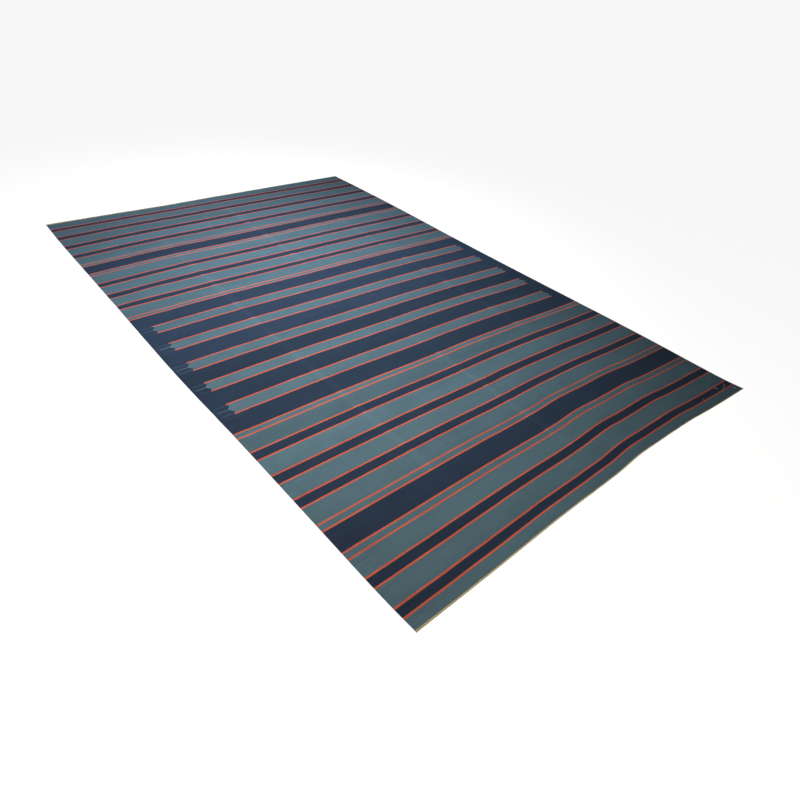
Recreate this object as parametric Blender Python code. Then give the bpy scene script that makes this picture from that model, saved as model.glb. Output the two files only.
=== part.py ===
"""A flat-woven cotton dhurrie rug lying open on the floor.

The rug is three pieces: one woven cloth and a twisted cord that binds each end. It was folded away for
years, so its ends have drawn in, its selvages have spread and soft ridges stand along the old folds.
X runs across the rug, Y along it towards the far end, Z up. The origin is on the floor under the middle.
"""

import math
from bisect import bisect_right
from collections import namedtuple

import bmesh
import bpy

MM = 0.001  # the tables below are in millimetres

# Driving sizes, in metres
RUG_WIDTH = 2.300
RUG_LENGTH = 3.585  # of the cloth, without its end cords
CLOTH_THICKNESS = 0.0035
CLEARANCE = 0.0003
COLUMN_STEP = 0.100
ROW_STEP = 0.100

# How far each end of the cloth stands from its straight line, towards the far end of the rug.
End = namedtuple("End", "across near far")
ENDS = (
    End(-1150, 3, -9),
    End(-770, 11, -8),
    End(-380, 22, -13),
    End(0, 25, -3),
    End(230, 33, -1),
    End(600, 24, 4),
    End(860, 5, 5),
    End(1150, -11, 8),
)

# How far each selvage stands out from its straight line.
Selvage = namedtuple("Selvage", "along left right")
SELVAGES = (
    Selvage(-1792, 3, 20),
    Selvage(-1690, 8, 10),
    Selvage(-1550, 11, 10),
    Selvage(-1200, 13, 17),
    Selvage(-740, 17, 13),
    Selvage(-190, 27, 5),
    Selvage(410, 23, 2),
    Selvage(980, 18, 8),
    Selvage(1500, 14, 1),
    Selvage(1792, 6, -11),
)

# How thick the end cord is. It was twisted from ever fewer warp ends towards the right selvage.
Cord = namedtuple("Cord", "across diameter")
CORD = (
    Cord(-1150, 8.5),
    Cord(-950, 7.5),
    Cord(-400, 6.5),
    Cord(300, 5.5),
    Cord(1150, 4.0),
)

# Soft ridges in the cloth. A heading of 0 degrees runs along the rug, and 90 degrees across it.
Ridge = namedtuple("Ridge", "across along heading length width height")
RIDGES = (
    Ridge(-610, -200, 0, 3000, 60, 1.8),
    Ridge(4, -1000, 0, 1400, 60, 2.0),
    Ridge(-4, 1050, 0, 1400, 60, 1.8),
    Ridge(610, 150, 0, 2900, 60, 1.8),
    Ridge(230, -1560, 4, 760, 330, 7.0),
    Ridge(620, -1500, -6, 700, 300, 6.0),
    Ridge(-1000, 600, 74, 460, 220, 5.0),
    Ridge(-1060, -640, 62, 240, 110, 3.5),
)

SLATE_COTTON = (0.078, 0.147, 0.184, 1.0)
UNDYED_COTTON = (0.500, 0.400, 0.250, 1.0)
COTTON_ROUGHNESS = 0.9


def curve_through(points, at):
    """Height at a place of one smooth curve through (place, height) points."""
    last = len(points) - 1
    k = bisect_right([place for place, _ in points], at) - 1
    k = min(max(k, 0), last - 1)

    def slope(i):
        before = points[max(i - 1, 0)]
        after = points[min(i + 1, last)]
        return (after[1] - before[1]) / (after[0] - before[0])

    (start, low), (end, high) = points[k], points[k + 1]
    span = end - start
    u = (at - start) / span
    return (
        low * (1 + 2 * u) * (1 - u) ** 2
        + high * u * u * (3 - 2 * u)
        + slope(k) * span * u * (1 - u) ** 2
        - slope(k + 1) * span * u * u * (1 - u)
    )


def column_of(table, place, value):
    """The (place, value) points of one named column of a table, in metres."""
    return [(getattr(row, place) * MM, getattr(row, value) * MM) for row in table]


NEAR_END = column_of(ENDS, "across", "near")
FAR_END = column_of(ENDS, "across", "far")
LEFT_SELVAGE = column_of(SELVAGES, "along", "left")
RIGHT_SELVAGE = column_of(SELVAGES, "along", "right")
CORD_DIAMETERS = column_of(CORD, "across", "diameter")


def floor_place(across, along):
    """Where a point of the straight loom-made rectangle lies on the floor, as (x, y)."""
    from_left = across / RUG_WIDTH + 0.5
    from_near = along / RUG_LENGTH + 0.5
    left = curve_through(LEFT_SELVAGE, along) * (1 - from_left)
    right = curve_through(RIGHT_SELVAGE, along) * from_left
    near = curve_through(NEAR_END, across) * (1 - from_near)
    far = curve_through(FAR_END, across) * from_near
    return across - left + right, along + near + far


def lift(across, along):
    """How far the ridges raise the cloth off the floor. Each one fades to nothing at its edges."""
    total = 0.0
    for ridge in RIDGES:
        heading = math.radians(ridge.heading)
        off_x = across - ridge.across * MM
        off_y = along - ridge.along * MM
        run = off_x * math.sin(heading) + off_y * math.cos(heading)
        side = off_x * math.cos(heading) - off_y * math.sin(heading)
        u = run / (ridge.length * MM / 2)
        v = side / (ridge.width * MM / 2)
        if abs(u) < 1 and abs(v) < 1:
            total += ridge.height * MM * (1 - u**4) ** 2 * (1 - v * v) ** 2
    return total


def even_steps(start, end, step):
    """Places from start to end, evenly spaced and no further apart than step."""
    count = math.ceil((end - start) / step)
    return [start + (end - start) * i / count for i in range(count + 1)]


def cloth_columns():
    """Columns of points across the cloth: even ones, and three along each lengthwise fold."""
    folds = {r.across * MM: r.width * MM / 2 for r in RIDGES if r.heading == 0}
    even = even_steps(-RUG_WIDTH / 2, RUG_WIDTH / 2, COLUMN_STEP)
    columns = [x for x in even if all(abs(x - fold) > 1.2 * half for fold, half in folds.items())]
    for fold, half in folds.items():
        columns += [fold - half, fold, fold + half]
    return sorted(columns)


def cloth_rows():
    return even_steps(-RUG_LENGTH / 2, RUG_LENGTH / 2, ROW_STEP)


def rug_centre():
    """Middle of the rug's outline on the floor, cords included."""
    across = cloth_columns()
    along = cloth_rows()
    left = min(floor_place(-RUG_WIDTH / 2, y)[0] for y in along)
    right = max(floor_place(RUG_WIDTH / 2, y)[0] for y in along)
    near = min(floor_place(x, -RUG_LENGTH / 2)[1] for x in across)
    far = max(floor_place(x, RUG_LENGTH / 2)[1] for x in across)
    return (left + right) / 2, (near + far) / 2


CENTRE_X, CENTRE_Y = rug_centre()


def laid(across, along, height=0.0):
    """A point of the cloth as it lies, with a height above its underside."""
    x, y = floor_place(across, along)
    return x - CENTRE_X, y - CENTRE_Y, lift(across, along) + height


def cotton(name, colour):
    material = bpy.data.materials.new(name)
    material.use_nodes = True
    shader = material.node_tree.nodes["Principled BSDF"]
    shader.inputs["Base Color"].default_value = colour
    shader.inputs["Roughness"].default_value = COTTON_ROUGHNESS
    shader.inputs["Metallic"].default_value = 0.0
    return material


def add_object(name, data, material):
    data.materials.append(material)
    piece = bpy.data.objects.new(name, data)
    bpy.context.scene.collection.objects.link(piece)
    return piece


def woven_cloth(material):
    """One closed sheet: a grid of points on top, the same grid below, and a rim between them."""
    columns = cloth_columns()
    rows = cloth_rows()
    bm = bmesh.new()
    top = [[bm.verts.new(laid(x, y, CLOTH_THICKNESS)) for x in columns] for y in rows]
    under = [[bm.verts.new(laid(x, y)) for x in columns] for y in rows]
    for i in range(len(rows) - 1):
        for j in range(len(columns) - 1):
            bm.faces.new((top[i][j], top[i][j + 1], top[i + 1][j + 1], top[i + 1][j]))
            bm.faces.new((under[i][j], under[i + 1][j], under[i + 1][j + 1], under[i][j + 1]))
    last_row, last_column = len(rows) - 1, len(columns) - 1
    rim = [(0, j) for j in range(last_column)]
    rim += [(i, last_column) for i in range(last_row)]
    rim += [(last_row, j) for j in range(last_column, 0, -1)]
    rim += [(i, 0) for i in range(last_row, 0, -1)]
    for (i, j), (m, n) in zip(rim, rim[1:] + rim[:1]):
        bm.faces.new((under[i][j], under[m][n], top[m][n], top[i][j]))
    mesh = bpy.data.meshes.new("woven_cloth")
    bm.to_mesh(mesh)
    bm.free()
    mesh.shade_smooth()
    mesh.set_sharp_from_angle(angle=math.radians(40))
    return add_object("woven_cloth", mesh, material)


def end_cord(name, end, outward, material):
    """A cord bound along one end of the cloth. Outward is -1 at the near end and 1 at the far end."""
    thickest = max(diameter for _, diameter in CORD_DIAMETERS) / 2
    curve = bpy.data.curves.new(name, "CURVE")
    curve.dimensions = "3D"
    curve.bevel_depth = thickest
    curve.bevel_resolution = 2
    curve.use_fill_caps = True
    columns = cloth_columns()
    spline = curve.splines.new("POLY")
    spline.points.add(len(columns) - 1)
    for point, across in zip(spline.points, columns):
        radius = curve_through(CORD_DIAMETERS, across) / 2
        x, y, z = laid(across, end, radius)
        point.co = (x, y + outward * (radius + CLEARANCE), z, 1.0)
        point.radius = radius / thickest
    return add_object(name, curve, material)


for old in list(bpy.data.objects):
    bpy.data.objects.remove(old, do_unlink=True)

woven_cloth(cotton("slate_cotton", SLATE_COTTON))
undyed = cotton("undyed_cotton", UNDYED_COTTON)
end_cord("end_cord_near", -RUG_LENGTH / 2, -1, undyed)
end_cord("end_cord_far", RUG_LENGTH / 2, 1, undyed)
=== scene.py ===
# %% [markdown]
# # A striped cotton dhurrie rug
# A dhurrie is a flat rug, woven on a loom from thick cotton yarn, with no pile. This one is striped in
# indigo, slate blue and a thin orange line, and its warp ends are bound with an undyed twisted cord.
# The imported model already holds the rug's real size and the shape in which it lies. This lesson builds
# what the eye sees on top of it: the stripes, the weave, the cords and some mending threads.

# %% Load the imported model
import math
from bisect import bisect_right
from collections import namedtuple
from itertools import accumulate, pairwise

import bpy
from mathutils import Matrix, Vector, noise


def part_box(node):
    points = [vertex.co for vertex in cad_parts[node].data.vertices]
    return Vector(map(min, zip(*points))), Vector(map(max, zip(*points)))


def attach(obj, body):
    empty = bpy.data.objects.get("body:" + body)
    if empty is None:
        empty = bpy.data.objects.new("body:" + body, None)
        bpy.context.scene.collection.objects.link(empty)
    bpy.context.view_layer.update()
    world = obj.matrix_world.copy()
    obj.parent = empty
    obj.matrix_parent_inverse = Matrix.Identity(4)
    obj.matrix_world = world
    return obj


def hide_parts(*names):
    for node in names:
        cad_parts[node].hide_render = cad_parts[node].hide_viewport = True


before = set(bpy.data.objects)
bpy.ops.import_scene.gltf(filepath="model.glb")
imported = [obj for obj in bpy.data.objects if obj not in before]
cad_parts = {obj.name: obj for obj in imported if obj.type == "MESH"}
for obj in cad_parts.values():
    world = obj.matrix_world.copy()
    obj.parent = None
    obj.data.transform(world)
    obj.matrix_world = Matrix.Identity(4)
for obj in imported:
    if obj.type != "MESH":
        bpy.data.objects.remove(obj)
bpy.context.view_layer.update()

MM = 0.001
cloth_low, cloth_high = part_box("woven_cloth")

# %% [markdown]
# ## The camera
# The rug is seen from standing height, just past its near left corner, with a wide lens held slightly
# askew. A camera is easiest to read as a place, a point that it aims at and a roll about that line, so
# those are the numbers here, and the code turns them into a rotation.

# %% Camera
EYE = Vector((-2.004, -2.447, 1.7355))
AIM = Vector((-0.422, -0.869, 0.0045))
ROLL = math.radians(7.15)
LENS_MM = 27.3
SENSOR_MM = 36.0

camera = bpy.data.objects.new("camera", bpy.data.cameras.new("camera"))
camera.data.lens = LENS_MM
camera.data.sensor_width = SENSOR_MM
look = (AIM - EYE).to_track_quat("-Z", "Y").to_matrix().to_4x4()
camera.matrix_world = Matrix.Translation(EYE) @ look @ Matrix.Rotation(ROLL, 4, "Z")
bpy.context.scene.collection.objects.link(camera)
bpy.context.scene.camera = camera
print("The camera stands", round(EYE.z, 2), "m above the floor")

# %% [markdown]
# ## The shape in which the cloth lies
# A rug never stays the rectangle that left the loom. Its ends draw in, its selvages bulge, and years in
# a cupboard leave soft ridges along the folds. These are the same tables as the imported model's, in
# millimetres, so that the fine cloth fits the plain one. A smooth curve is read through each column.

# %% Tables of the outline and the ridges
CLOTH_WIDTH = 2.300
CLOTH_LENGTH = 3.585
CLOTH_THICKNESS = 0.0035

End = namedtuple("End", "across near far")
ENDS = (
    End(-1150, 3, -9),
    End(-770, 11, -8),
    End(-380, 22, -13),
    End(0, 25, -3),
    End(230, 33, -1),
    End(600, 24, 4),
    End(860, 5, 5),
    End(1150, -11, 8),
)
Selvage = namedtuple("Selvage", "along left right")
SELVAGES = (
    Selvage(-1792, 3, 20),
    Selvage(-1690, 8, 10),
    Selvage(-1550, 11, 10),
    Selvage(-1200, 13, 17),
    Selvage(-740, 17, 13),
    Selvage(-190, 27, 5),
    Selvage(410, 23, 2),
    Selvage(980, 18, 8),
    Selvage(1500, 14, 1),
    Selvage(1792, 6, -11),
)
Ridge = namedtuple("Ridge", "across along heading length width height")
RIDGES = (
    Ridge(-610, -200, 0, 3000, 60, 1.8),
    Ridge(4, -1000, 0, 1400, 60, 2.0),
    Ridge(-4, 1050, 0, 1400, 60, 1.8),
    Ridge(610, 150, 0, 2900, 60, 1.8),
    Ridge(230, -1560, 4, 760, 330, 7.0),
    Ridge(620, -1500, -6, 700, 300, 6.0),
    Ridge(-1000, 600, 74, 460, 220, 5.0),
    Ridge(-1060, -640, 62, 240, 110, 3.5),
)


def curve_through(points, at):
    """Height at a place of one smooth curve through (place, height) points."""
    last = len(points) - 1
    k = bisect_right([place for place, _ in points], at) - 1
    k = min(max(k, 0), last - 1)

    def slope(i):
        before = points[max(i - 1, 0)]
        after = points[min(i + 1, last)]
        return (after[1] - before[1]) / (after[0] - before[0])

    (start, low), (end, high) = points[k], points[k + 1]
    span = end - start
    u = (at - start) / span
    return (
        low * (1 + 2 * u) * (1 - u) ** 2
        + high * u * u * (3 - 2 * u)
        + slope(k) * span * u * (1 - u) ** 2
        - slope(k + 1) * span * u * u * (1 - u)
    )


def column_of(table, place, value):
    """The (place, value) points of one named column of a table, in metres."""
    return [(getattr(row, place) * MM, getattr(row, value) * MM) for row in table]


NEAR_END = column_of(ENDS, "across", "near")
FAR_END = column_of(ENDS, "across", "far")
LEFT_SELVAGE = column_of(SELVAGES, "along", "left")
RIGHT_SELVAGE = column_of(SELVAGES, "along", "right")
print("The near end draws in by up to", round(max(v for _, v in NEAR_END) / MM), "mm")

# %% [markdown]
# ## How the wefts wander
# The weaver beats each weft into place by hand, so the stripes are never quite straight or square. The
# table says how far the wefts stand from their straight line, towards the far end, beyond what the ends
# already do. Its named columns are places across the rug. Soft noise adds the small shake of each line.

# %% Table of the wefts
Weft = namedtuple("Weft", "along left left_quarter middle right_quarter right")
WEFTS = (
    Weft(-1792, 0, 0, 0, 0, 0),
    Weft(-1400, 15, 10, 0, -5, -10),
    Weft(-900, 30, 20, 0, -15, -20),
    Weft(-300, 30, 25, 5, -10, -25),
    Weft(300, 25, 25, 5, -10, -20),
    Weft(900, 0, 20, 5, 0, -5),
    Weft(1500, -5, 15, 10, 5, 0),
    Weft(1792, 0, 0, 0, 0, 0),
)
WEFT_COLUMNS = [column_of(WEFTS, "along", name) for name in Weft._fields[1:]]
SHAKE = 1.1 * MM
SHAKE_PER_METRE_ACROSS = 9.0
SHAKE_PER_METRE_ALONG = 14.0


def wander(across, along):
    """How far a weft stands from its straight line at a point."""
    share = CLOTH_WIDTH / (len(WEFT_COLUMNS) - 1)
    here = [(i * share - CLOTH_WIDTH / 2, curve_through(c, along)) for i, c in enumerate(WEFT_COLUMNS)]
    place = Vector((across * SHAKE_PER_METRE_ACROSS, along * SHAKE_PER_METRE_ALONG, 0))
    at_end = min(1.0, (CLOTH_LENGTH / 2 - abs(along)) / 0.05)
    return curve_through(here, across) + SHAKE * noise.noise(place) * at_end


def floor_place(across, along):
    """Where a point of the straight loom-made rectangle lies on the floor, before it is centred."""
    from_left = across / CLOTH_WIDTH + 0.5
    from_near = along / CLOTH_LENGTH + 0.5
    left = curve_through(LEFT_SELVAGE, along) * (1 - from_left)
    right = curve_through(RIGHT_SELVAGE, along) * from_left
    near = curve_through(NEAR_END, across) * (1 - from_near)
    far = curve_through(FAR_END, across) * from_near
    return across - left + right, along + near + far + wander(across, along)


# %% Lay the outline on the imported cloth
HALF_WIDTH = CLOTH_WIDTH / 2
HALF_LENGTH = CLOTH_LENGTH / 2
steps = [i / 50 - 1 for i in range(101)]
outline_left = min(floor_place(-HALF_WIDTH, HALF_LENGTH * u)[0] for u in steps)
outline_right = max(floor_place(HALF_WIDTH, HALF_LENGTH * u)[0] for u in steps)
outline_near = min(floor_place(HALF_WIDTH * u, -HALF_LENGTH)[1] for u in steps)
outline_far = max(floor_place(HALF_WIDTH * u, HALF_LENGTH)[1] for u in steps)
to_frame_x = (cloth_low.x + cloth_high.x - outline_left - outline_right) / 2
to_frame_y = (cloth_low.y + cloth_high.y - outline_near - outline_far) / 2
print("The outline moves by", round(to_frame_x / MM, 1), "and", round(to_frame_y / MM, 1), "mm to fit")

# %% [markdown]
# ## Ridges, creases and cockling
# Cloth that lies on a floor is lifted here and there: by the folds it was stored in, by a swell where an
# end has stretched, and by small pinched wrinkles beside the woven bars, where the weaver's wefts turn
# back and pull. Each is a soft ridge with its own size. A little noise gives the cockled look between.

# %% Height of the cloth
WRINKLES = (
    Ridge(-1118, -560, -50, 190, 34, 1.6),
    Ridge(-1105, -470, 86, 120, 26, 1.3),
    Ridge(-1112, -330, 94, 110, 26, 1.4),
    Ridge(-1108, -268, 84, 130, 28, 1.3),
    Ridge(-1110, -130, 90, 120, 26, 1.5),
    Ridge(-1112, 62, 95, 120, 30, 1.4),
    Ridge(-1108, 125, 86, 100, 24, 1.2),
    Ridge(-1110, 270, 92, 120, 28, 1.3),
    Ridge(1105, -380, 88, 120, 30, 1.2),
    Ridge(1100, -180, 95, 130, 30, 1.3),
    Ridge(1104, 10, 84, 110, 28, 1.2),
    Ridge(1000, -1570, 40, 220, 44, 1.5),
    Ridge(1060, -1650, 62, 200, 40, 1.6),
)
COCKLE = 0.9 * MM
SHARP_RIDGE = 100  # narrower ones than this are creases
COCKLES_PER_METRE = 7.0


def ridge_height(ridge, across, along):
    """Height of one soft ridge at a point. It fades to nothing at its own edges."""
    off_x = across - ridge.across * MM
    off_y = along - ridge.along * MM
    if abs(off_x) + abs(off_y) > (ridge.length + ridge.width) * MM:
        return 0.0
    heading = math.radians(ridge.heading)
    run = off_x * math.sin(heading) + off_y * math.cos(heading)
    side = off_x * math.cos(heading) - off_y * math.sin(heading)
    u = run / (ridge.length * MM / 2)
    v = side / (ridge.width * MM / 2)
    if abs(u) >= 1 or abs(v) >= 1:
        return 0.0
    return ridge.height * MM * (1 - u**4) ** 2 * (1 - v * v) ** 2


def lift(across, along):
    """How far the underside of the cloth stands off the floor."""
    place = Vector((across * COCKLES_PER_METRE, along * COCKLES_PER_METRE, 3.7))
    cockle = COCKLE * max(0.0, noise.noise(place) + 0.15)
    return cockle + sum(ridge_height(ridge, across, along) for ridge in RIDGES + WRINKLES)


def ridge_highlight_share(across, along):
    """How far the cloth is painted paler, 0 to 1: a painted highlight on the sharp folds and wrinkles."""
    sharp = [ridge for ridge in RIDGES + WRINKLES if ridge.width < SHARP_RIDGE]
    return min(1.0, sum(ridge_height(r, across, along) / (r.height * MM) for r in sharp))


def laid(across, along, height=0.0):
    """A point of the cloth as it lies, with a height above its underside."""
    x, y = floor_place(across, along)
    return x + to_frame_x, y + to_frame_y, lift(across, along) + height


print("The cloth carries", len(RIDGES), "ridges and", len(WRINKLES), "small wrinkles")

# %% [markdown]
# ## The weaver's chart
# A weaver plans stripes as a list: which yarn, and how wide. Reading from the near end, this is that
# list in millimetres. Between any two bands lies the same thin orange line, so the chart leaves it out.
# A band called "bar" is slate that stops short of both selvages, with indigo on either side of it. Yarn
# is dyed a few hanks at a time and no two lots match, so the last number is how pale this lot came out.

# %% Stripes in their order
ORANGE_LINE = 8.0
CHART = (
    ("slate", 47, 1.00), ("indigo", 35, 0.95), ("slate", 85, 1.00), ("indigo", 40, 0.90),
    ("slate", 83, 1.03), ("slate", 25, 1.00), ("indigo", 107, 1.00), ("slate", 25, 1.00),
    ("slate", 90, 1.00), ("indigo", 42, 1.00), ("slate", 88, 1.05), ("indigo", 45, 1.00),
    ("slate", 96, 1.07), ("indigo", 46, 1.05), ("slate", 92, 0.87), ("slate", 23, 1.05),
    ("indigo", 115, 1.00), ("bar", 67, 1.00), ("indigo", 115, 1.00), ("bar", 63, 1.02),
    ("indigo", 108, 0.92), ("bar", 65, 1.00), ("indigo", 121, 1.20), ("bar", 63, 1.03),
    ("indigo", 110, 1.20), ("bar", 63, 0.97), ("indigo", 108, 1.15), ("slate", 21, 1.00),
    ("slate", 91, 0.97), ("indigo", 40, 1.10), ("slate", 92, 1.02), ("indigo", 47, 1.00),
    ("slate", 89, 1.03), ("indigo", 42, 1.00), ("slate", 96, 0.98), ("slate", 24, 1.00),
    ("indigo", 93, 1.00), ("slate", 24, 1.00), ("slate", 89, 0.98), ("indigo", 43, 1.03),
    ("slate", 84, 1.08), ("indigo", 43, 1.00), ("slate", 89, 0.98), ("indigo", 40, 1.00),
    ("slate", 80, 1.00), ("indigo", 31, 1.00), ("slate", 77, 1.00),
)
Band = namedtuple("Band", "yarn start end lot")


def woven_bands():
    """Every band of weft from the near end to the far one, in metres, scaled to fill the cloth."""
    drawn = []
    for k, (yarn, width, lot) in enumerate(CHART):
        beside_bar = yarn == "bar" or (k and CHART[k - 1][0] == "bar")
        if k:
            drawn.append(("bar_line" if beside_bar else "orange", ORANGE_LINE, 1.0))
        drawn.append((yarn, width, lot))
    scale = CLOTH_LENGTH / sum(width for _, width, _ in drawn)
    edges = [0.0, *accumulate(width * scale for _, width, _ in drawn)]
    return [
        Band(yarn, start - HALF_LENGTH, end - HALF_LENGTH, lot)
        for (yarn, _, lot), (start, end) in zip(drawn, pairwise(edges))
    ]


bands = woven_bands()
print(len(bands), "bands of weft, over", len(CHART), "stripes")

# %% [markdown]
# ## Where the bars end
# At its end each orange line stops square. The slate between steps back from the lines, then runs out
# to a short point in its middle, where its wefts turn round the indigo ones. On the left a single pale
# pick trails on towards the selvage. Hand work varies, so each bar has its own distances in this table.

# %% Ends of the bars
BarEnd = namedtuple("BarEnd", "left left_point trail right right_point")
BAR_ENDS = (
    BarEnd(75, 10, 62, 83, 9),
    BarEnd(72, 10, 58, 80, 13),
    BarEnd(77, 11, 64, 79, 10),
    BarEnd(80, 12, 62, 88, 12),
    BarEnd(73, 10, 60, 78, 13),
)
TRAIL_WIDTH = 5.0 * MM
# The shape of an end: share of the way from its middle to its side, and share of the point's length.
END_SHAPE = ((0.0, 1.0), (0.16, 0.85), (0.36, 0.05), (0.62, -0.55), (0.93, -0.75), (1.0, 0.0))
bars = [band for band in bands if band.yarn == "bar"]
BAR_MIDDLES = [(band.start + band.end) / 2 for band in bars]


def on_straight_lines(points, at):
    """Height at a place of straight lines through (place, height) points, level beyond them."""
    if at <= points[0][0]:
        return points[0][1]
    for (start, low), (end, high) in pairwise(points):
        if at <= end:
            return low + (high - low) * (at - start) / (end - start)
    return points[-1][1]


def bar_end(name, along):
    """One column of the table at a place along the rug, changing half way between two bars."""
    values = [getattr(row, name) * MM for row in BAR_ENDS]
    points = [(BAR_MIDDLES[0], values[0])]
    for (a, b), (low, high) in zip(pairwise(BAR_MIDDLES), pairwise(values)):
        points += [(a + (b - a) * 0.3, low), (a + (b - a) * 0.7, high)]
    return on_straight_lines(points, along)


def point_out(name, along):
    """How far the slate stands out past the ends of the orange lines at a place along the rug."""
    nearest = min(bars, key=lambda band: abs((band.start + band.end) / 2 - along))
    middle = (nearest.start + nearest.end) / 2
    half = (nearest.end - nearest.start) / 2
    share = abs(along - middle) / half
    return bar_end(name, along) * on_straight_lines(END_SHAPE, share) if share < 1 else 0.0


print("The bars are", [round((b.end - b.start) / MM) for b in bars], "mm wide")

# %% [markdown]
# ## A mesh that follows the yarn
# The stripes could be painted in the shader, but real ones are a change of yarn, so here the mesh has a
# row of points at every change, and each face wears the material of its own yarn. The rows bend with
# the wefts. The columns are close together at the old folds and at the ends of the bars.

# %% Rows and columns
COLUMN_STEP = 22 * MM
ROW_STEP = 15 * MM
# The rounded edge, as (distance in from the edge, share of the half thickness).
EDGE_PROFILE = ((0.0, 0.0), (0.6 * MM, 0.6), (1.8 * MM, 0.9), (4.0 * MM, 1.0))


def even_steps(start, end, step):
    """Places from start up to but without end, evenly spaced and no further apart than step."""
    count = max(1, math.ceil((end - start) / step))
    return [start + (end - start) * i / count for i in range(count)]


def cloth_rows():
    """Places along the rug, one at each change of yarn, with each bar's middle pick set apart."""
    places = []
    for band in bands:
        middle = (band.start + band.end) / 2
        half = (band.end - band.start) / 2
        if band.yarn == "bar":
            shares = [share for share, _ in END_SHAPE[2:]]
            places += [middle - half * share for share in reversed(shares)]
            places += [middle - TRAIL_WIDTH / 2, middle + TRAIL_WIDTH / 2]
            places += [middle + half * share for share in shares[:-1]]
        else:
            places += even_steps(band.start, band.end, ROW_STEP)
    insets = [inset for inset, _ in EDGE_PROFILE]
    inner = [y for y in places if abs(y) < HALF_LENGTH - insets[-1] - 1 * MM]
    return [-HALF_LENGTH + i for i in insets] + inner + [HALF_LENGTH - i for i in reversed(insets)]


# A column is a function, because those at the bars' ends shift from bar to bar.
def straight(across):
    return lambda along: across


def cloth_columns():
    """Columns from the left selvage to the right one, and where the bars' own columns are."""
    insets = [inset for inset, _ in EDGE_PROFILE]
    left_end = lambda y: -HALF_WIDTH + bar_end("left", y)
    right_end = lambda y: HALF_WIDTH - bar_end("right", y)
    bar_columns = {
        "trail": lambda y: left_end(y) - bar_end("trail", y),
        "left": lambda y: left_end(y) - point_out("left_point", y),
        "right": lambda y: right_end(y) + point_out("right_point", y),
    }
    folds = [(r.across * MM, r.width * MM / 2) for r in RIDGES if r.heading == 0]
    fold_places = {round(x + half * k / 3, 6) for x, half in folds for k in range(-3, 4)}
    keep_clear = [(column(0), 22 * MM) for column in bar_columns.values()]
    keep_clear += [(x, half + 8 * MM) for x, half in folds]
    even = even_steps(-HALF_WIDTH + 12 * MM, HALF_WIDTH - 12 * MM, COLUMN_STEP)
    plain = [x for x in even if all(abs(x - place) > room for place, room in keep_clear)]
    plain += fold_places
    plain += [-HALF_WIDTH + i for i in insets] + [HALF_WIDTH - i for i in insets]
    columns = [(x, straight(x), None) for x in plain]
    columns += [(column(0), column, name) for name, column in bar_columns.items()]
    columns.sort(key=lambda entry: entry[0])
    return [column for _, column, _ in columns], {
        name: i for i, (_, _, name) in enumerate(columns) if name
    }


rows = cloth_rows()
columns, bar_column = cloth_columns()
print(len(rows), "rows and", len(columns), "columns; bar columns", bar_column)

# %% [markdown]
# ## Weaving the mesh
# Top and underside are the same grid of points, and they share the points round the rim, so the cloth is
# one closed sheet with a rounded edge. Each corner of each face also keeps its place in the weave, in
# metres, as a UV map, and the materials draw the ribs and the yarn from that. A second map lays both
# sides out flat on one square, the top larger, for whoever wants to paint or bake the rug.

# %% Build the cloth
EDGE_SHARES = [share for _, share in EDGE_PROFILE]
YARNS = ("indigo", "slate", "orange", "trail")
MAP_MARGIN = 0.004
TOP_SHARE = 0.70  # of the flat map's height, the rest being the underside's


def edge_share(i, count):
    """How much of its full thickness the cloth has at this row or column."""
    inset = min(i, count - 1 - i)
    return EDGE_SHARES[inset] if inset < len(EDGE_SHARES) else 1.0


def yarn_of(band, i_column, in_trail):
    """The yarn of one face, from its band and from where it stands among the bars' own columns."""
    inside = bar_column["left"] <= i_column < bar_column["right"]
    if band.yarn == "bar":
        if in_trail and bar_column["trail"] <= i_column < bar_column["left"]:
            return "trail"
        return "slate" if inside else "indigo"
    if band.yarn == "bar_line":
        return "orange" if inside else "indigo"
    return band.yarn


def lot_of(i_band, yarn):
    """How pale the dye lot of one face is. Indigo beside a bar is of the lot of the next wide band."""
    if bands[i_band].yarn in ("bar", "bar_line") and yarn in ("indigo", "trail"):
        return next(band.lot for band in bands[i_band:] if band.yarn == "indigo")
    return bands[i_band].lot


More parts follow.
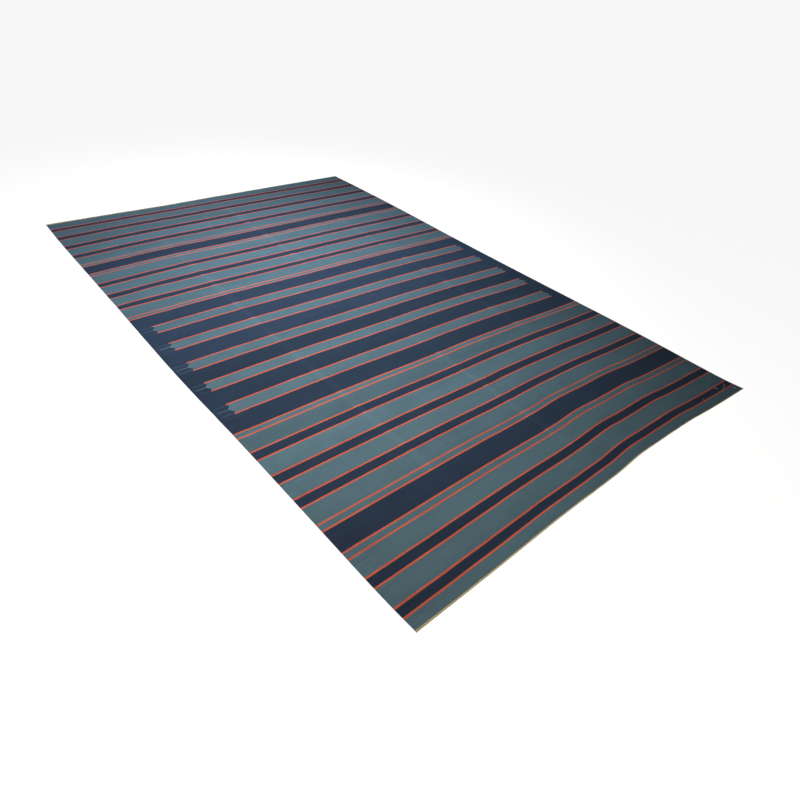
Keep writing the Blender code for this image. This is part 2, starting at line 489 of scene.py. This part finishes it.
def weave_cloth():
    """The cloth's mesh, its two UV maps and its yarns."""
    grid = [[(column(y), y) for column in columns] for y in rows]
    points, ridge_highlight, top, under = [], [], [], []
    for i, line in enumerate(grid):
        top.append([])
        under.append([])
        for j, (across, along) in enumerate(line):
            x, y, z = laid(across, along, CLOTH_THICKNESS / 2)
            share = min(edge_share(i, len(rows)), edge_share(j, len(columns)))
            half = share * CLOTH_THICKNESS / 2
            top[-1].append(len(points))
            sides = (half, -half) if half else (0.0,)
            points += [(x, y, z + side) for side in sides]
            # A painted highlight: how much paler the sharp folds and wrinkles are painted at this point.
            ridge_highlight += [ridge_highlight_share(across, along)] * len(sides)
            under[-1].append(len(points) - 1)
    faces, yarns, lots, weave_map, flat_map = [], [], [], [], []
    starts = [band.start for band in bands]
    for i in range(len(rows) - 1):
        middle = (rows[i] + rows[i + 1]) / 2
        i_band = bisect_right(starts, middle) - 1
        in_trail = rows[i + 1] - rows[i] < TRAIL_WIDTH * 1.01
        for j in range(len(columns) - 1):
            ring = ((i, j), (i, j + 1), (i + 1, j + 1), (i + 1, j))
            for side, order in ((top, ring), (under, ring[::-1])):
                faces.append([side[a][b] for a, b in order])
                yarn = yarn_of(bands[i_band], j, in_trail)
                yarns.append(YARNS.index(yarn))
                lots.append(lot_of(i_band, yarn))
                for a, b in order:
                    across, along = grid[a][b]
                    weave_map += (across, along)
                    from_near = along / CLOTH_LENGTH + 0.5
                    from_left = across / CLOTH_WIDTH + 0.5
                    low, high = (1 - TOP_SHARE, 1) if side is top else (0, 1 - TOP_SHARE)
                    flat_map.append(MAP_MARGIN + (1 - 2 * MAP_MARGIN) * from_near)
                    flat_map.append(low + MAP_MARGIN + (high - low - 2 * MAP_MARGIN) * from_left)
    mesh = bpy.data.meshes.new("striped_cloth")
    mesh.from_pydata(points, [], faces)
    mesh.polygons.foreach_set("material_index", yarns)
    mesh.attributes.new("lot", "FLOAT", "FACE").data.foreach_set("value", lots)
    mesh.attributes.new("ridge_highlight", "FLOAT", "POINT").data.foreach_set("value", ridge_highlight)
    mesh.uv_layers.new(name="OFBake").uv.foreach_set("vector", flat_map)
    mesh.uv_layers.new(name="weave").uv.foreach_set("vector", weave_map)
    mesh.shade_smooth()
    mesh.update()
    return mesh


def add_piece(name, mesh):
    piece = bpy.data.objects.new(name, mesh)
    bpy.context.scene.collection.objects.link(piece)
    return piece


striped_cloth = add_piece("striped_cloth", weave_cloth())
print("The cloth has", len(striped_cloth.data.polygons), "faces")

# %% [markdown]
# ## Cords and threads
# Each end of the warp is gathered into a cord of two plies twisted round each other. A ply is a tube
# whose middle winds round the cord's own line, so one function that makes a tube through a list of
# points serves for the plies and for the mending threads alike.

# %% A tube through points
def tube(path, radii, sides):
    """Points and faces of a closed tube along a path that never runs straight up."""
    points, faces = [], []
    for k, (point, radius) in enumerate(zip(path, radii)):
        before = path[max(k - 1, 0)]
        after = path[min(k + 1, len(path) - 1)]
        along = (after - before).normalized()
        side = along.cross(Vector((0, 0, 1))).normalized()
        up = side.cross(along)
        for step in range(sides):
            turn = 2 * math.pi * step / sides
            points.append(point + radius * (math.cos(turn) * side + math.sin(turn) * up))
    for k in range(len(path) - 1):
        for step in range(sides):
            a = k * sides + step
            b = k * sides + (step + 1) % sides
            faces.append((a, a + sides, b + sides, b))
    faces.append(tuple(range(sides)))
    faces.append(tuple(range(len(points) - 1, len(points) - 1 - sides, -1)))
    return points, faces


def join_tubes(name, tubes):
    """One object from several tubes."""
    points, faces = [], []
    for more_points, more_faces in tubes:
        faces += [tuple(len(points) + v for v in face) for face in more_faces]
        points += more_points
    mesh = bpy.data.meshes.new(name)
    mesh.from_pydata(points, [], faces)
    mesh.shade_smooth()
    mesh.update()
    return add_piece(name, mesh)


# %% Twist the end cords
Cord = namedtuple("Cord", "across diameter")
CORD = (
    Cord(-1150, 8.5),
    Cord(-950, 7.5),
    Cord(-400, 6.5),
    Cord(300, 5.5),
    Cord(1150, 4.0),
)
CORD_DIAMETERS = column_of(CORD, "across", "diameter")
CORD_CLEARANCE = 0.3 * MM
TWIST = 10 * MM  # along the cord for one whole turn
RINGS_A_TURN = 8
PLY_SIDES = 6
PLIES = 2
PLY_SHARE = 0.64  # of the cord's radius; soft plies press into each other


def end_cord(name, end, outward):
    """The twisted cord along one end. Outward is -1 at the near end and 1 at the far end."""
    count = round(CLOTH_WIDTH / TWIST * RINGS_A_TURN)
    plies = []
    for ply in range(PLIES):
        path, radii = [], []
        for k in range(count + 1):
            across = CLOTH_WIDTH * (k / count - 0.5)
            radius = curve_through(CORD_DIAMETERS, across) / 2
            wound = radius * (1 - PLY_SHARE)
            x, y, z = laid(across, end, radius)
            turn = 2 * math.pi * (across / TWIST + ply / PLIES)
            y += outward * (radius + CORD_CLEARANCE) + wound * math.cos(turn)
            path.append(Vector((x, y, z + wound * math.sin(turn))))
            radii.append(radius * PLY_SHARE)
        plies.append(tube(path, radii, PLY_SIDES))
    return join_tubes(name, plies)


cord_near = end_cord("twisted_cord_near", -HALF_LENGTH, -1)
cord_far = end_cord("twisted_cord_far", HALF_LENGTH, 1)
print("Each cord has", round(CLOTH_WIDTH / TWIST), "turns")

# %% [markdown]
# ## Mending threads
# Somebody has mended the near right corner by hand, and ends of undyed thread still lie on it. They are
# placed by their distances from the right selvage and from the near end, as one would find them with a
# ruler. Each thread is a little arch that dives into the cloth at both ends.

# %% Lay the threads
Thread = namedtuple("Thread", "from_selvage from_end to_selvage to_end")
THREADS = (
    Thread(140, 34, 60, 74),
    Thread(66, 60, 44, 84),
    Thread(136, 70, 118, 92),
    Thread(118, 72, 138, 88),
    Thread(46, 22, 28, 34),
    Thread(30, 20, 44, 36),
    Thread(292, 56, 278, 66),
)
THREAD_RADIUS = 0.9 * MM
THREAD_STEPS = 10
THREAD_SIDES = 8
THREAD_WAVE = 1.5 * MM


def mending_thread(thread):
    path = []
    for k in range(THREAD_STEPS + 1):
        u = k / THREAD_STEPS
        in_selvage = thread.from_selvage + (thread.to_selvage - thread.from_selvage) * u
        in_end = thread.from_end + (thread.to_end - thread.from_end) * u
        across = HALF_WIDTH - in_selvage * MM + THREAD_WAVE * math.sin(2 * math.pi * u)
        along = -HALF_LENGTH + in_end * MM
        above = THREAD_RADIUS * (2 * (4 * u * (1 - u)) ** 0.5 - 1)
        path.append(Vector(laid(across, along, CLOTH_THICKNESS + above)))
    return tube(path, [THREAD_RADIUS] * len(path), THREAD_SIDES)


threads = join_tubes("mending_threads", [mending_thread(thread) for thread in THREADS])
print(len(THREADS), "mending threads")

# %% [markdown]
# ## Colour and nodes
# Colours are written as the hex values that any paint program shows. Those are in sRGB, and Blender
# mixes light in linear values, so one function turns the one into the other. A second small function
# adds a node, sets its properties and fills or links its inputs. Every material below uses these two.

# %% Two helpers for materials
def linear(hex_colour):
    """An sRGB hex colour as linear red, green, blue and alpha."""
    parts = [int(hex_colour[i : i + 2], 16) / 255 for i in (1, 3, 5)]
    return [p / 12.92 if p <= 0.04045 else ((p + 0.055) / 1.055) ** 2.4 for p in parts] + [1.0]


def add_node(tree, kind, inputs=None, **settings):
    """Adds a node. Inputs are values or other nodes' outputs, by name or number."""
    node = tree.nodes.new("ShaderNode" + kind)
    for setting, value in settings.items():
        setattr(node, setting, value)
    for socket, value in (inputs or {}).items():
        if isinstance(value, bpy.types.NodeSocket):
            tree.links.new(value, node.inputs[socket])
        else:
            node.inputs[socket].default_value = value
    return node


# %% [markdown]
# ## The weft-faced weave
# In a dhurrie the wefts are packed so tightly that they hide the warp. What shows is a row of ribs, one
# over each warp thread, and along each rib a string of small beads, one for every second weft, which
# stand half a bead apart on neighbouring ribs. The ribs are really 3 mm apart and a bead is 2.8 mm long.
# That is too fine to show from standing height, so both are drawn twice as coarse.

# %% The relief of the weave
RIB = 3.0 * MM
BEAD = 2.8 * MM
DRAWN_COARSER = 2.0


def woven_relief(tree):
    """Sockets for the weave's place, and for its height from 0 in the grooves to 1 on the beads."""
    place = add_node(tree, "UVMap", uv_map="weave")
    split = add_node(tree, "SeparateXYZ", {0: place.outputs[0]})

    def maths(operation, a, b=0.0):
        return add_node(tree, "Math", {0: a, 1: b}, operation=operation).outputs[0]

    rib = maths("DIVIDE", split.outputs[0], RIB * DRAWN_COARSER)
    odd = maths("MULTIPLY", maths("MODULO", maths("FLOOR", maths("ADD", rib, 2000.0)), 2.0), 0.5)
    bead = maths("ADD", maths("DIVIDE", split.outputs[1], BEAD * DRAWN_COARSER), odd)
    across = maths("SINE", maths("MULTIPLY", maths("FRACT", rib), math.pi))
    along = maths("SINE", maths("MULTIPLY", maths("FRACT", bead), math.pi))
    rounded = maths("MULTIPLY", maths("ADD", along, 0.9), 0.53)
    return place.outputs[0], maths("MULTIPLY", across, rounded)


# %% [markdown]
# ## Hand-dyed cotton yarn
# Cotton yarn dyed by hand in small lots never matches itself: the tone drifts from weft to weft, which
# weavers call abrash, and single wefts are lighter or darker. Cotton is a dull fibre with an index of
# refraction near 1.55. Its loose ends catch light from the side, which the shader calls sheen. The
# material mixes a deep and a pale tone of one dye, by noise stretched along the wefts, by painted
# shade in the grooves of the weave and a painted highlight on its beads, and by a painted highlight
# along the sharp folds and wrinkles.

# %% Material of the wefts
COTTON_IOR = 1.55
FIBRE_ENDS = "#a6ddff"
# How much paler the painted highlight makes the sharp folds and wrinkles.
RIDGE_HIGHLIGHT_STRENGTH = 0.35


def split_across(tree, place):
    """The place across the rug, out of the weave's place."""
    return add_node(tree, "SeparateXYZ", {0: place}).outputs[0]


def dyed_cotton(name, deep, pale, sheen):
    """Weft of hand-spun cotton in one dye."""
    material = bpy.data.materials.new(name)
    material.use_nodes = True
    tree = material.node_tree
    shader = tree.nodes["Principled BSDF"]
    place, height = woven_relief(tree)

    def noise_on(stretch, detail=3.0):
        """Noise so many times a metre across and along."""
        stretched = add_node(tree, "VectorMath", {0: place, 1: (*stretch, 1)}, operation="MULTIPLY")
        return add_node(
            tree, "TexNoise", {"Vector": stretched.outputs[0], "Scale": 1.0, "Detail": detail}
        ).outputs[0]

    # The wefts turn back at the selvages, and there single turns stand out.
    from_middle = add_node(tree, "Math", {0: split_across(tree, place)}, operation="ABSOLUTE")
    at_selvage = add_node(
        tree,
        "MapRange",
        {"Value": from_middle.outputs[0], "From Min": HALF_WIDTH - 0.13, "From Max": HALF_WIDTH, "To Max": 2.2},
    ).outputs[0]
    turns = noise_on((16.0, 130.0))
    abrash = noise_on((1.1, 16.0))
    single_wefts = noise_on((5.0, 240.0))
    hand_spun = noise_on((150.0, 260.0), detail=2.0)
    blotches = noise_on((7.0, 7.0), detail=4.0)
    # Painted shade and highlight: the tone starts from the weave's relief, so the grooves between the ribs are
    # painted darker and the tops of the beads paler.
    tone = height
    for source, strength in (
        (abrash, 0.8), (single_wefts, 1.0), (hand_spun, 1.2), (blotches, 0.6), (turns, at_selvage)
    ):
        centred = add_node(tree, "Math", {0: source, 1: 0.5}, operation="SUBTRACT").outputs[0]
        tone = add_node(
            tree, "Math", {0: centred, 1: strength, 2: tone}, operation="MULTIPLY_ADD"
        ).outputs[0]
    # Painted highlight: the sharp folds and wrinkles are painted paler, as if their ridges caught the light.
    ridge_highlight = add_node(tree, "Attribute", attribute_name="ridge_highlight").outputs["Fac"]
    tone = add_node(tree, "Math", {0: ridge_highlight, 1: RIDGE_HIGHLIGHT_STRENGTH, 2: tone}, operation="MULTIPLY_ADD").outputs[0]
    mix = add_node(tree, "ValToRGB", {0: tone})
    mix.color_ramp.elements[0].color = linear(deep)
    mix.color_ramp.elements[1].color = linear(pale)
    lot = add_node(tree, "Attribute", attribute_name="lot").outputs["Fac"]
    dyed = add_node(
        tree, "VectorMath", {0: mix.outputs[0], "Scale": lot}, operation="SCALE"
    )
    rough = add_node(
        tree, "MapRange", {"Value": tone, "To Min": 0.95, "To Max": 0.82}
    )
    relief = add_node(
        tree, "Bump", {"Height": height, "Strength": 0.55, "Distance": 0.8 * MM}
    )
    tree.links.new(dyed.outputs[0], shader.inputs["Base Color"])
    tree.links.new(rough.outputs[0], shader.inputs["Roughness"])
    tree.links.new(relief.outputs[0], shader.inputs["Normal"])
    shader.inputs["IOR"].default_value = COTTON_IOR
    shader.inputs["Specular IOR Level"].default_value = 0.2
    shader.inputs["Sheen Weight"].default_value = sheen
    shader.inputs["Sheen Roughness"].default_value = 0.5
    shader.inputs["Sheen Tint"].default_value = linear(FIBRE_ENDS)
    return material


INDIGO = ("#232f44", "#2f3f58")
SLATE = ("#526c78", "#648391")
ORANGE = ("#cf4a34", "#f8805e")
TRAIL = ("#3c5266", "#587286")
for name, (deep, pale) in zip(YARNS, (INDIGO, SLATE, ORANGE, TRAIL)):
    striped_cloth.data.materials.append(dyed_cotton(name + "_cotton_weft", deep, pale, sheen=0.40))
print("The cloth wears", [m.name for m in striped_cloth.data.materials])

# %% [markdown]
# ## Undyed cotton
# The cords and threads are cotton as it was spun, a warm cream that has greyed with dust in the turns of
# the twist. Fine noise on the object's own coordinates gives the fibres, and broad noise the dust.

# %% Material of cords and threads
FIBRES_PER_METRE = 700
DUST_PER_METRE = 14


def undyed_cotton(name, dusty, clean):
    """Spun cotton, never dyed, with dust in it."""
    material = bpy.data.materials.new(name)
    material.use_nodes = True
    tree = material.node_tree
    shader = tree.nodes["Principled BSDF"]
    place = add_node(tree, "TexCoord").outputs["Object"]
    fibres = add_node(tree, "TexNoise", {"Vector": place, "Scale": FIBRES_PER_METRE, "Detail": 2.0})
    dust = add_node(tree, "TexNoise", {"Vector": place, "Scale": DUST_PER_METRE, "Detail": 4.0})
    both = add_node(tree, "Math", {0: fibres.outputs[0], 1: dust.outputs[0]}, operation="ADD")
    tone = add_node(tree, "MapRange", {"Value": both.outputs[0], "From Min": 0.7, "From Max": 1.3})
    mix = add_node(tree, "ValToRGB", {0: tone.outputs[0]})
    mix.color_ramp.elements[0].color = linear(dusty)
    mix.color_ramp.elements[1].color = linear(clean)
    rough = add_node(tree, "MapRange", {"Value": tone.outputs[0], "To Min": 0.95, "To Max": 0.85})
    relief = add_node(
        tree, "Bump", {"Height": fibres.outputs[0], "Strength": 0.5, "Distance": 0.4 * MM}
    )
    tree.links.new(mix.outputs[0], shader.inputs["Base Color"])
    tree.links.new(rough.outputs[0], shader.inputs["Roughness"])
    tree.links.new(relief.outputs[0], shader.inputs["Normal"])
    shader.inputs["IOR"].default_value = COTTON_IOR
    shader.inputs["Specular IOR Level"].default_value = 0.25
    return material


undyed = undyed_cotton("undyed_cotton_twist", "#c9b280", "#f4e4b8")
for piece in (cord_near, cord_far):
    piece.data.materials.append(undyed)
threads.data.materials.append(undyed_cotton("undyed_cotton_thread", "#a9a08c", "#efe8d6"))

# %% [markdown]
# ## Floor and light
# The floor is the white table of a photo studio, lit from below so that it stays pale everywhere. One
# soft, slightly blue lamp hangs over the far half of the rug, so the light falls away towards the near
# right corner. A weak, even sky fills the shadows.

# %% Studio
FLOOR_SIZE = 300.0
FLOOR_GLOW = 0.92
SKY_LIGHT = 0.02
SOFT_BOX_SIZE = 0.9


def studio_floor():
    mesh = bpy.data.meshes.new("floor")
    half = FLOOR_SIZE / 2
    mesh.from_pydata([(-half, -half, 0), (half, -half, 0), (half, half, 0), (-half, half, 0)], [], [(0, 1, 2, 3)])
    floor = add_piece("floor", mesh)
    floor.location.z = -0.2 * MM
    material = bpy.data.materials.new("white_table")
    material.use_nodes = True
    shader = material.node_tree.nodes["Principled BSDF"]
    shader.inputs["Base Color"].default_value = linear("#9a9a9a")
    shader.inputs["Roughness"].default_value = 0.9
    shader.inputs["Emission Color"].default_value = linear("#ffffff")
    shader.inputs["Emission Strength"].default_value = FLOOR_GLOW
    mesh.materials.append(material)


def soft_box(name, place, spread, watts, colour):
    """A round lamp that hangs level and lights only a cone of so many degrees."""
    lamp = bpy.data.lights.new(name, "AREA")
    lamp.shape = "DISK"
    lamp.size = SOFT_BOX_SIZE
    lamp.spread = math.radians(spread)
    lamp.energy = watts
    lamp.color = linear(colour)[:3]
    holder = bpy.data.objects.new(name, lamp)
    holder.location = place
    holder.visible_camera = False
    bpy.context.scene.collection.objects.link(holder)


studio_floor()
soft_box("far_soft_box", (-0.07, 0.84, 3.36), 77, 21, "#eff7ff")
soft_box("near_soft_box", (-0.80, -0.90, 2.66), 126, 24, "#fffaf1")

world = bpy.data.worlds.new("sky")
world.use_nodes = True
bpy.context.scene.world = world
sky = world.node_tree.nodes["Background"]
seen = add_node(world.node_tree, "LightPath").outputs["Is Camera Ray"]
sky_strength = add_node(
    world.node_tree, "MapRange", {"Value": seen, "To Min": SKY_LIGHT, "To Max": 1.0}
)
world.node_tree.links.new(sky_strength.outputs[0], sky.inputs["Strength"])
sky.inputs["Color"].default_value = linear("#ffffff")
bpy.context.scene.view_settings.view_transform = "Standard"

# %% [markdown]
# ## Put each piece on the rug's body
# Each piece rides on the rug's one body and stands for its plain solid, which is hidden. The mending
# threads ride on the body too.

for piece, node, finish in (
    (striped_cloth, "woven_cloth", "indigo_cotton"),
    (cord_near, "end_cord_near", "undyed_cotton"),
    (cord_far, "end_cord_far", "undyed_cotton"),
):
    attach(piece, "root")
    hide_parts(node)
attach(threads, "root")
